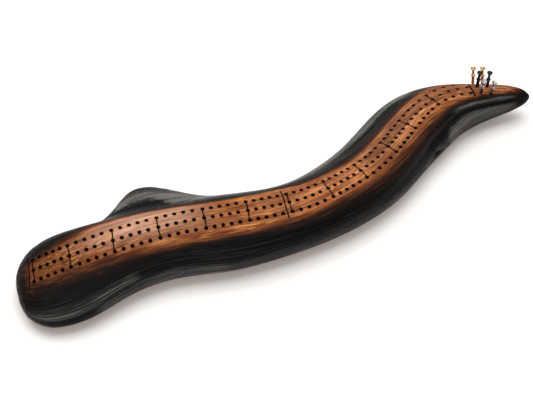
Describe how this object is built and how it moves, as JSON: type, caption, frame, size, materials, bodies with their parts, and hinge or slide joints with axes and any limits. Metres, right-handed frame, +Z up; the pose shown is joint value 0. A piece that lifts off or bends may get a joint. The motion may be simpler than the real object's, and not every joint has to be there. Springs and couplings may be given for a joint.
{
  "type": "cribbage board",
  "caption": "Curved log cribbage board with a three-row peg track, a start line, metal pegs standing in start holes and a covered peg store underneath.",
  "frame": {"origin": "on the table, under the middle of the board's box", "axes": "+X along the board from the blunt end to the pointed end, +Y towards the side with the fin, +Z up"},
  "size_m": [0.5546, 0.1464, 0.0591],
  "materials": {
    "charred_wood": "satin, golden brown along the track and charred black at the sides",
    "brass": "turned and polished",
    "black_metal": "glossy black",
    "silver_metal": "turned and polished",
    "black_rubber": "matt"
  },
  "bodies": {
    "board": {"board_body": "charred_wood", "cover_pivot_screw": "brass", "cover_catch_screw": "brass", "foot_1": "black_rubber", "foot_2": "black_rubber", "foot_3": "black_rubber", "foot_4": "black_rubber"},
    "brass_peg_a": {"brass_peg_1": "brass"},
    "brass_peg_b": {"brass_peg_2": "brass"},
    "black_peg_a": {"black_peg_1": "black_metal"},
    "black_peg_b": {"black_peg_2": "black_metal"},
    "silver_peg_a": {"silver_peg_1": "silver_metal"},
    "silver_peg_b": {"silver_peg_2": "silver_metal"},
    "cover": {"storage_cover": "brass"}
  },
  "joints": [
    {"name": "brass_peg_a_lift", "type": "slide", "parent": "board", "child": "brass_peg_a", "axis": [0.0683, 0.2097, 0.9754], "range_m": [0, 0.02]},
    {"name": "brass_peg_b_lift", "type": "slide", "parent": "board", "child": "brass_peg_b", "axis": [0.0683, 0.2097, 0.9754], "range_m": [0, 0.02]},
    {"name": "black_peg_a_lift", "type": "slide", "parent": "board", "child": "black_peg_a", "axis": [0.1334, 0.0741, 0.9883], "range_m": [0, 0.02]},
    {"name": "black_peg_b_lift", "type": "slide", "parent": "board", "child": "black_peg_b", "axis": [0.1334, 0.0741, 0.9883], "range_m": [0, 0.02]},
    {"name": "silver_peg_a_lift", "type": "slide", "parent": "board", "child": "silver_peg_a", "axis": [0.0199, -0.1191, 0.9927], "range_m": [0, 0.02]},
    {"name": "silver_peg_b_lift", "type": "slide", "parent": "board", "child": "silver_peg_b", "axis": [0.0199, -0.1191, 0.9927], "range_m": [0, 0.02]},
    {"name": "cover_swing", "type": "hinge", "parent": "board", "child": "cover", "pos_m": [-0.01585, -0.03753, 0.0024], "axis": [0, 0, 1], "range_deg": [0, 110]}
  ]
}
